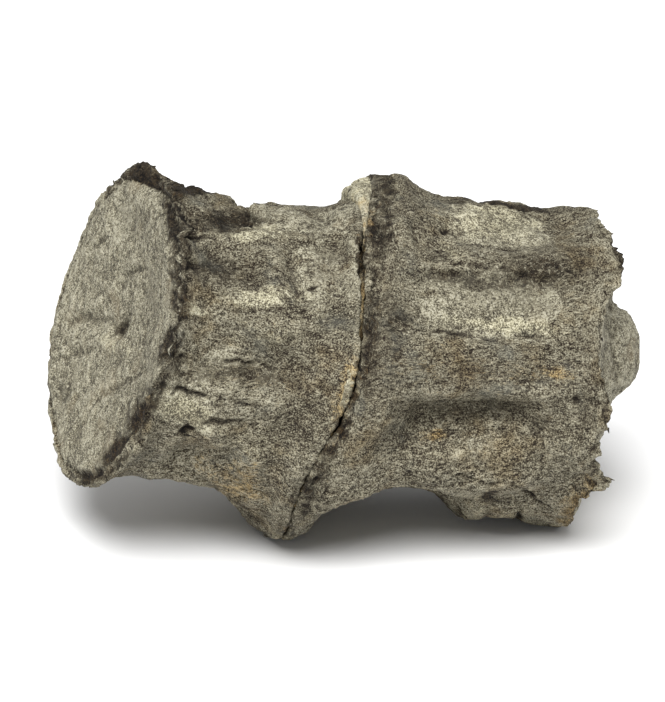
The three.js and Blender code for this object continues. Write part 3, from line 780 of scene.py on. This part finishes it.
def build_splinters(name, look):
    """Slivers of bone round the rims and cracks of one vertebra, half sunk in it."""
    body = bpy.data.objects[name]
    skin = Skin(body.data)
    normals = skin.normals()
    lie = Lie(skin.points)
    part = lie.part(VERTEBRAE[name])
    dark = np.empty(len(part), dtype=np.float32)
    body.data.attributes["dark"].data.foreach_get("value", dark)
    near_rim = np.maximum(1 - ramp(part, 0.0, 0.1), ramp(part, 0.9, 1.0))
    outside = ramp(lie.radius / RIM_RADIUS, 0.8, 0.95)
    weight = outside * (0.05 + near_rim + 1.2 * dark)
    draw = np.random.default_rng(SEED + 2 + list(VERTEBRAE).index(name))
    chosen = draw.choice(len(weight), look.count, replace=False, p=weight / weight.sum())
    bm = bmesh.new()
    for i in chosen:
        out = Vector(normals[i])
        along = Vector((1, 0, 0))
        if draw.random() <= SPLINTERS_ACROSS * near_rim[i]:
            along = out.cross(along)
        lean = 0.1 + 0.3 * draw.random() * near_rim[i]
        course = (along - along.project(out)).normalized() * (1 if draw.random() < 0.5 else -1)
        course = (course + out * lean + Vector(draw.normal(0, SPLINTER_STRAY, 3))).normalized()
        length = look.length * draw.uniform(0.5, 1.5)
        width = look.width * draw.uniform(0.5, 1.4)
        add_splinter(bm, Vector(skin.points[i]), out, course, length, width)
    mesh = bpy.data.meshes.new(name + "_splinters")
    bm.to_mesh(mesh)
    bm.free()
    piece = bpy.data.objects.new(name + "_splinters", mesh)
    bpy.context.scene.collection.objects.link(piece)
    slivers = Skin(mesh)
    slivers.put_back()
    lie = Lie(slivers.points)
    nothing = np.zeros(len(slivers.points))
    slivers.keep("strands", lie.strands())
    for unused in ("rings", "cover", "hollow"):
        slivers.keep(unused, nothing)
    dark = 0.5 + 0.5 * np.clip(all_marks_at(lie)["dark"], 0, 1)
    slivers.keep_tints({"dark": dark, "pale": nothing, "ochre": 0.5 * noise(lie.place / 3, 71)})
    finish_piece(piece, None, body.data.materials[0])


class Tree:
    """Short words for building a material."""

    def __init__(self, name):
        self.material = bpy.data.materials.new(name)
        self.material.use_nodes = True
        self.nodes = self.material.node_tree.nodes
        self.links = self.material.node_tree.links
        self.nodes.clear()

    def add(self, kind, inputs=None, **settings):
        node = self.nodes.new(kind)
        for name, value in settings.items():
            setattr(node, name, value)
        for name, value in (inputs or {}).items():
            self.feed(node.inputs[name], value)
        return node

    def feed(self, socket, value):
        if isinstance(value, bpy.types.NodeSocket):
            self.links.new(value, socket)
        else:
            socket.default_value = value

    def maths(self, operation, a, b=0.0, c=0.0):
        """One sum on two or three values."""
        node = self.nodes.new("ShaderNodeMath")
        node.operation = operation
        for socket, value in zip(node.inputs, (a, b, c)):
            self.feed(socket, value)
        return node.outputs[0]

    def total(self, *terms):
        """The sum of several (value, share) pairs."""
        result = 0.0
        for value, share in terms:
            result = self.maths("MULTIPLY_ADD", value, share, result)
        return result

    def stored(self, name):
        return self.add("ShaderNodeAttribute", attribute_name=name)

    def stretched(self, vector, scale):
        return self.add(
            "ShaderNodeMapping", {"Vector": vector, "Scale": scale}, vector_type="POINT"
        ).outputs["Vector"]

    def grains(self, vector, scale, detail=4.0, roughness=0.6):
        """Noise round 0, from about -0.3 to 0.3."""
        texture = self.add(
            "ShaderNodeTexNoise",
            {"Vector": vector, "Scale": scale, "Detail": detail, "Roughness": roughness},
        )
        return self.maths("SUBTRACT", texture.outputs["Fac"], 0.5)

    def threads(self, vector, scale, width):
        """1 on thin winding lines, 0 between them."""
        off = self.maths("ABSOLUTE", self.grains(vector, scale, 2.0, 0.55))
        return self.maths("SUBTRACT", 1.0, self.step(off, 0.0, width))

    def chunks(self, vector, scale):
        """A random value round 0 for each cell of broken bone or stone."""
        cells = self.add("ShaderNodeTexVoronoi", {"Vector": vector, "Scale": scale})
        split = self.add("ShaderNodeSeparateColor", {"Color": cells.outputs["Color"]})
        return self.maths("SUBTRACT", split.outputs["Red"], 0.5)

    def step(self, value, low, high):
        return self.add(
            "ShaderNodeMapRange",
            {"Value": value, "From Min": low, "From Max": high},
            interpolation_type="SMOOTHSTEP",
        ).outputs["Result"]

    def blend(self, share, first, second, kind="MIX"):
        node = self.add("ShaderNodeMix", data_type="RGBA", blend_type=kind)
        self.feed(node.inputs[0], share)
        for place, colour in ((6, first), (7, second)):
            fixed = not isinstance(colour, bpy.types.NodeSocket)
            self.feed(node.inputs[place], (*colour, 1.0) if fixed else colour)
        return node.outputs[2]

    def between(self, share, first, second):
        """A plain value that goes from first to second as share goes from 0 to 1."""
        inputs = {0: share, 2: first, 3: second}
        return self.add("ShaderNodeMix", inputs, data_type="FLOAT").outputs[0]

    def ramp(self, value, stops):
        """A colour ramp with its stops given as (place, colour)."""
        node = self.add("ShaderNodeValToRGB", {"Fac": value})
        elements = node.color_ramp.elements
        while len(elements) < len(stops):
            elements.new(0.5)
        for element, (place, colour) in zip(elements, stops):
            element.position = place
            element.color = (*colour, 1.0)
        return node.outputs["Color"]

    def finished(self, colour, roughness, shine, **more):
        """The material, with this surface."""
        inputs = {"Base Color": colour, "Roughness": roughness, "Specular IOR Level": shine, **more}
        shader = self.add("ShaderNodeBsdfPrincipled", inputs)
        output = self.add("ShaderNodeOutputMaterial")
        self.links.new(shader.outputs["BSDF"], output.inputs["Surface"])
        return self.material

    def surface(self, colour, roughness, heights, depth):
        """The material, with a dull surface whose fine relief is read from heights."""
        bump = self.add("ShaderNodeBump", {"Height": heights, "Strength": 1.0, "Distance": depth})
        return self.finished(colour, roughness, 0.25, Normal=bump.outputs["Normal"])


def shade(colour, share):
    return tuple(channel * share for channel in colour)


# What pale marks, dark marks and stains multiply a colour by; some pale marks are painted light and some
# dark marks painted shade
PALE_TINT = (1.3, 1.3, 1.24)
DARK_TINT = (0.12, 0.098, 0.076)
STAIN_TINT = (1.28, 1.02, 0.66)

# Where the usual tone of bone and of stone lies on its colour ramp
BONE_TONE = 0.425
STONE_TONE = 0.47


class Grain:
    """What bone and stone share: noises round 0, and thin winding threads that are 1 on a line."""

    def __init__(self, tree):
        self.tree = tree
        self.place = tree.add("ShaderNodeTexCoord").outputs["Object"]
        self.grit = tree.grains(self.place, 4200.0, 1.0)
        self.fine = tree.grains(self.place, 1150.0, 3.0, 0.7)
        self.middle = tree.grains(self.place, 320.0, 3.0, 0.65)
        self.broad = tree.grains(self.place, 80.0, 3.0, 0.6)
        self.hue = tree.grains(self.place, 120.0, 3.0, 0.65)
        self.threads = tree.threads(self.place, 1250.0, 0.028)

    def ragged(self, *terms):
        """The sum of some (value, share) pairs, with its edges broken up by the grain."""
        return self.tree.total(*terms, (self.middle, 1.2), (self.fine, 0.8))


def stone_colour(tree, grain, look, hollow):
    """Fine-grained mudstone: olive grey with small pale and dark grains and faint rust. Gives the
    colour and the height of its grains."""
    gaps = tree.threads(grain.place, 380.0, 0.016)
    flecks = tree.chunks(grain.place, 2300.0)
    # The hollow term darkens the tone in hollows and lightens it on edges: painted shade and painted
    # light.
    tone = tree.total(
        (grain.grit, 2.5), (grain.fine, 1.2), (grain.middle, 0.65), (grain.broad, 0.7),
        (flecks, 0.22), (grain.threads, 0.16), (gaps, -0.3), (hollow, -0.45),
    )
    tone = tree.maths("ADD", tone, STONE_TONE)
    colour = tree.ramp(
        tone,
        [
            (0.05, shade(look.dark_colour, 0.45)),
            (0.3, look.dark_colour),
            (0.5, look.colour),
            (0.68, shade(look.colour, 1.35)),
            (0.92, look.fleck_colour),
        ],
    )
    rust = tree.step(grain.hue, 0.06, 0.26)
    colour = tree.blend(tree.maths("MULTIPLY", rust, 0.36), colour, look.rust_colour)
    return colour, tree.total((grain.fine, 0.8), (grain.middle, 0.6), (gaps, -0.15))


def marked(tree, grain, colour, pale, dark):
    """The colour with its pale and dark marks, which have ragged edges; some of them are painted light
    and painted shade.
    """
    ragged = tree.total((grain.middle, 1.0), (grain.fine, 0.8))
    lit = tree.step(tree.maths("ADD", pale, ragged), 0.2, 0.8)
    colour = tree.blend(lit, colour, PALE_TINT, "MULTIPLY")
    torn = tree.total((ragged, 1.0), (grain.grit, 0.9), (grain.threads, -0.3))
    shadow = tree.step(tree.maths("ADD", dark, torn), 0.2, 0.8)
    return tree.blend(shadow, colour, DARK_TINT, "MULTIPLY")


def bone_material(look, stone_look):
    """Fibrous bone: strands of light and dark, rust in places, a crust of stone in the pits, and painted
    shade in its hollows with painted light on its edges.
    """
    tree = Tree("Fibrous fossil bone")
    grain = Grain(tree)
    strands = tree.stored("strands").outputs["Vector"]
    rings, hollow, cover, dark, pale, ochre = (
        tree.stored(name).outputs["Fac"]
        for name in ("rings", "hollow", "cover", "dark", "pale", "ochre")
    )
    lies = tree.stretched(strands, (0.6, 3.8, 3.8)), tree.stretched(strands, (3.8, 0.75, 0.75))
    fibres = tree.between(rings, *(tree.grains(lie, 1.0, 3.0, 0.7) for lie in lies))
    strings = tree.between(rings, *(tree.threads(lie, 0.85, 0.03) for lie in lies))
    splits = tree.between(rings, *(tree.threads(lie, 0.45, 0.016) for lie in lies))
    scales = tree.chunks(tree.stretched(strands, (0.45, 0.9, 0.9)), 1.0)
    felt = tree.step(tree.total((grain.broad, 1.0), (grain.middle, 0.6)), -0.26, 0.14)
    bright = tree.maths("MULTIPLY", tree.total((strings, 0.42), (grain.threads, 0.3)), felt)
    # The hollow term darkens the tone in hollows and lightens it on edges: painted shade and painted
    # light.
    tone = tree.total(
        (fibres, 1.15), (grain.grit, 2.3), (grain.fine, 0.28), (grain.middle, 0.22),
        (grain.broad, 0.4), (scales, 0.1), (bright, 0.9), (splits, -0.36), (hollow, -0.36),
    )
    tone = tree.maths("ADD", tone, BONE_TONE)
    colour = tree.ramp(
        tone,
        [
            (0.06, look.crevice_colour),
            (0.3, look.dark_colour),
            (0.5, look.colour),
            (0.7, look.light_colour),
            (0.94, look.fleck_colour),
        ],
    )
    warm = tree.maths("MULTIPLY", tree.step(grain.hue, 0.0, 0.2), 0.55)
    colour = tree.blend(warm, colour, look.ochre_colour, "SOFT_LIGHT")
    cool = tree.step(tree.maths("MULTIPLY", grain.hue, -1.0), 0.05, 0.22)
    colour = tree.blend(tree.maths("MULTIPLY", cool, 0.45), colour, look.cool_colour)
    rust = tree.step(grain.ragged((ochre, 1.0), (fibres, 1.6)), 0.2, 1.0)
    colour = tree.blend(rust, colour, STAIN_TINT, "MULTIPLY")
    crust_colour, crust_height = stone_colour(tree, grain, stone_look, hollow)
    crust = tree.step(grain.ragged((cover, 1.0)), 0.32, 0.66)
    colour = marked(tree, grain, tree.blend(crust, colour, crust_colour), pale, dark)

    height = tree.total(
        (fibres, 1.0), (grain.fine, 0.6), (grain.middle, 0.5), (splits, -0.25), (scales, 0.14)
    )
    height = tree.between(crust, height, crust_height)
    return tree.surface(colour, look.roughness, height, look.bump_depth)


def stone_material(look):
    """Bare mudstone, with rust stains, and painted shade in its creases."""
    tree = Tree("Pale mudstone")
    grain = Grain(tree)
    hollow, dark, pale, ochre = (
        tree.stored(name).outputs["Fac"] for name in ("hollow", "dark", "pale", "ochre")
    )
    colour, height = stone_colour(tree, grain, look, hollow)
    rust = tree.step(grain.ragged((ochre, 1.0)), 0.15, 0.8)
    colour = tree.blend(rust, colour, STAIN_TINT, "MULTIPLY")
    colour = marked(tree, grain, colour, pale, dark)
    return tree.surface(colour, look.roughness, height, look.bump_depth)


def colour_of(name, description, value):
    return FloatVectorProperty(
        name=name, description=description, subtype="COLOR", size=3, min=0, max=1, default=value
    )


def length_of(name, description, millimetres):
    return FloatProperty(
        name=name, description=description, subtype="DISTANCE", unit="LENGTH",
        default=millimetres * MM, precision=5,
    )


class FossilBoneLook(bpy.types.PropertyGroup):
    """Sizes and colours of the bone."""

    pitch: length_of("Pitch", "Distance between the points of the finished bone", 0.46)
    fibre_height: length_of("Fibre Height", "Height of the strands", 0.07)
    grain_height: length_of("Grain Height", "Height of the rough grain", 0.12)
    lump_height: length_of("Lump Height", "Height of the broad lumps", 0.3)
    flake_step: length_of("Flake Step", "Thickness of the flakes that have come away", 0.32)
    crack_depth: length_of("Crack Depth", "Depth of the cracks along the fibres", 0.35)
    pore_depth: length_of("Pore Depth", "Depth of the scattered pores", 0.35)
    mark_depth: length_of("Mark Depth", "Depth of a mark that is cut 1 deep", 0.65)
    seam_depth: length_of("Seam Depth", "Depth of the line between bone and stone", 0.4)
    rim_break: length_of("Rim Break", "How ragged the rims are", 0.75)
    joint_close: length_of("Joint Close", "How far each bone reaches into the joint", 0.7)
    bump_depth: length_of("Bump Depth", "Depth of the finest relief", 0.5)
    colour: colour_of("Bone", "Usual colour of the bone", (0.163, 0.146, 0.0985))
    light_colour: colour_of("Light Bone", "Raised, worn bone", (0.252, 0.229, 0.16))
    fleck_colour: colour_of("Flecks", "Lightest splinters", (0.385, 0.36, 0.27))
    dark_colour: colour_of("Dark Bone", "Sheltered bone", (0.082, 0.0686, 0.0455))
    crevice_colour: colour_of("Crevices", "Deep cracks and broken edges", (0.02, 0.0138, 0.00846))
    ochre_colour: colour_of("Ochre", "Rusty stains", (0.238, 0.154, 0.0654))
    cool_colour: colour_of("Cool Bone", "Grey-blue patches", (0.131, 0.135, 0.115))
    roughness: FloatProperty(name="Roughness", description="Dullness", default=0.82, min=0, max=1)


class FossilStoneLook(bpy.types.PropertyGroup):
    """Sizes and colours of the mudstone."""

    pitch: length_of("Pitch", "Distance between the points of the finished stone", 0.36)
    lump_height: length_of("Lump Height", "Height of the broad lumps", 0.6)
    chip_step: length_of("Chip Step", "Thickness of the chips that have come away", 0.3)
    grain_height: length_of("Grain Height", "Height of the coarse grains", 0.1)
    bump_depth: length_of("Bump Depth", "Depth of the finest relief", 0.55)
    mark_depth: length_of("Mark Depth", "Depth of a mark that is cut 1 deep", 0.65)
    swell: length_of("Swell", "How far the stone grows into the gap round it", 0.36)
    joint_sunk: length_of("Joint Sunk", "How far the stone is sunk in the joint", 0.5)
    colour: colour_of("Stone", "Usual colour of the stone", (0.207, 0.191, 0.133))
    dark_colour: colour_of("Dark Stone", "Darker grains", (0.118, 0.104, 0.0727))
    fleck_colour: colour_of("Flecks", "Lightest grains", (0.41, 0.388, 0.3))
    rust_colour: colour_of("Rust", "Faint stains", (0.223, 0.177, 0.108))
    roughness: FloatProperty(name="Roughness", description="Dullness", default=0.9, min=0, max=1)


class FossilSplinterLook(bpy.types.PropertyGroup):
    """The splinters on the broken edges."""

    count: IntProperty(name="Count", description="Splinters on each bone", default=160, min=0)
    length: length_of("Length", "Usual length of a splinter", 1.0)
    width: length_of("Width", "Usual width of a splinter", 0.4)


class FossilStageLook(bpy.types.PropertyGroup):
    """The table, the lights and the camera."""

    table_colour: colour_of("Table", "Colour of the table", (0.86, 0.86, 0.86))
    table_size: length_of("Table Size", "Length of the table's sides", 6000)
    key_strength: FloatProperty(
        name="Key Strength", description="Strength of the soft light overhead", default=4.4, min=0
    )
    key_spread: FloatProperty(
        name="Key Spread", description="How wide the soft light overhead is", default=math.radians(38),
        subtype="ANGLE",
    )
    surround: FloatProperty(
        name="Surround", description="Strength of the light all round", default=0.48, min=0
    )
    view_distance: length_of("View Distance", "From the camera to the joint", 700)
    picture_side: length_of("Picture Side", "What the picture's long side takes in", 112.32)


class FOSSIL_OT_build_vertebrae(bpy.types.Operator):
    """Carve both vertebrae and the stone that fills their hollows"""

    bl_idname = "fossil.build_vertebrae"
    bl_label = "Build Vertebrae"

    def execute(self, context):
        bone_look, stone_look = context.scene.fossil_bone, context.scene.fossil_stone
        material = bone_material(bone_look, stone_look)
        for name in VERTEBRAE:
            build_vertebra(name, bone_look, stone_look, material)
        return {"FINISHED"}


class FOSSIL_OT_build_joint_stone(bpy.types.Operator):
    """Fill the joint between the vertebrae with stone"""

    bl_idname = "fossil.build_joint_stone"
    bl_label = "Build Joint Stone"

    def execute(self, context):
        look = context.scene.fossil_stone
        build_joint_stone(look, stone_material(look))
        return {"FINISHED"}


class FOSSIL_OT_build_splinters(bpy.types.Operator):
    """Set splinters on the broken edges of the bones"""

    bl_idname = "fossil.build_splinters"
    bl_label = "Build Splinters"

    def execute(self, context):
        for name in VERTEBRAE:
            build_splinters(name, context.scene.fossil_splinters)
        return {"FINISHED"}


class FOSSIL_OT_set_stage(bpy.types.Operator):
    """Set the table, the lights and the camera"""

    bl_idname = "fossil.set_stage"
    bl_label = "Set Stage"

    def execute(self, context):
        look = context.scene.fossil_stage
        scene = context.scene
        scene.view_settings.view_transform = "Standard"

        bm = bmesh.new()
        bmesh.ops.create_grid(bm, x_segments=1, y_segments=1, size=look.table_size / 2)
        mesh = bpy.data.meshes.new("table")
        bm.to_mesh(mesh)
        bm.free()
        table = bpy.data.objects.new("table", mesh)
        scene.collection.objects.link(table)
        mesh.materials.append(Tree("White table").finished((*look.table_colour, 1), 0.9, 0.0))

        world = bpy.data.worlds.new("Surround")
        world.use_nodes = True
        background = world.node_tree.nodes["Background"]
        background.inputs["Color"].default_value = (1, 1, 1, 1)
        background.inputs["Strength"].default_value = look.surround
        scene.world = world
        light = bpy.data.lights.new("overhead", "SUN")
        light.energy = look.key_strength
        light.angle = look.key_spread
        lamp = bpy.data.objects.new("overhead", light)
        lamp.rotation_euler = Vector(KEY_FROM).to_track_quat("Z", "Y").to_euler()
        scene.collection.objects.link(lamp)

        view = bpy.data.cameras.new("view")
        view.sensor_width = 36
        view.lens = view.sensor_width * look.view_distance / look.picture_side
        view.clip_start = 0.01
        camera = bpy.data.objects.new("view", view)
        back = Vector((0, -math.cos(VIEW_SLANT), math.sin(VIEW_SLANT)))
        up = Vector((0, math.sin(VIEW_SLANT), math.cos(VIEW_SLANT)))
        aim = (Vector(JOINT_AT) + Vector((AIM_ALONG, 0, 0)) + up * AIM_UP) * MM
        camera.location = aim + back * look.view_distance
        camera.rotation_euler = (math.pi / 2 - VIEW_SLANT, 0, 0)
        scene.collection.objects.link(camera)
        scene.camera = camera
        return {"FINISHED"}


class FOSSIL_PT_panel(bpy.types.Panel):
    """Lists the looks and the steps"""

    bl_label = "Fossil Vertebra Pair"
    bl_idname = "FOSSIL_PT_panel"
    bl_space_type = "VIEW_3D"
    bl_region_type = "UI"
    bl_category = "Fossil"

    def draw(self, context):
        for operator, look in STEPS:
            box = self.layout.box()
            box.operator(operator.bl_idname)
            group = getattr(context.scene, look)
            for name in group.bl_rna.properties.keys():
                if name not in ("name", "rna_type"):
                    box.prop(group, name)


STEPS = (
    (FOSSIL_OT_build_vertebrae, "fossil_bone"),
    (FOSSIL_OT_build_joint_stone, "fossil_stone"),
    (FOSSIL_OT_build_splinters, "fossil_splinters"),
    (FOSSIL_OT_set_stage, "fossil_stage"),
)
LOOKS = {
    "fossil_bone": FossilBoneLook,
    "fossil_stone": FossilStoneLook,
    "fossil_splinters": FossilSplinterLook,
    "fossil_stage": FossilStageLook,
}


def register():
    for look in LOOKS.values():
        bpy.utils.register_class(look)
    for operator, _ in STEPS:
        bpy.utils.register_class(operator)
    bpy.utils.register_class(FOSSIL_PT_panel)
    for name, look in LOOKS.items():
        setattr(bpy.types.Scene, name, PointerProperty(type=look))


def unregister():
    for name in LOOKS:
        delattr(bpy.types.Scene, name)
    bpy.utils.unregister_class(FOSSIL_PT_panel)
    for operator, _ in reversed(STEPS):
        bpy.utils.unregister_class(operator)
    for look in LOOKS.values():
        bpy.utils.unregister_class(look)


def main():
    register()
    bpy.ops.fossil.build_vertebrae()
    bpy.ops.fossil.build_joint_stone()
    bpy.ops.fossil.build_splinters()
    bpy.ops.fossil.set_stage()


if __name__ == "__main__":
    main()
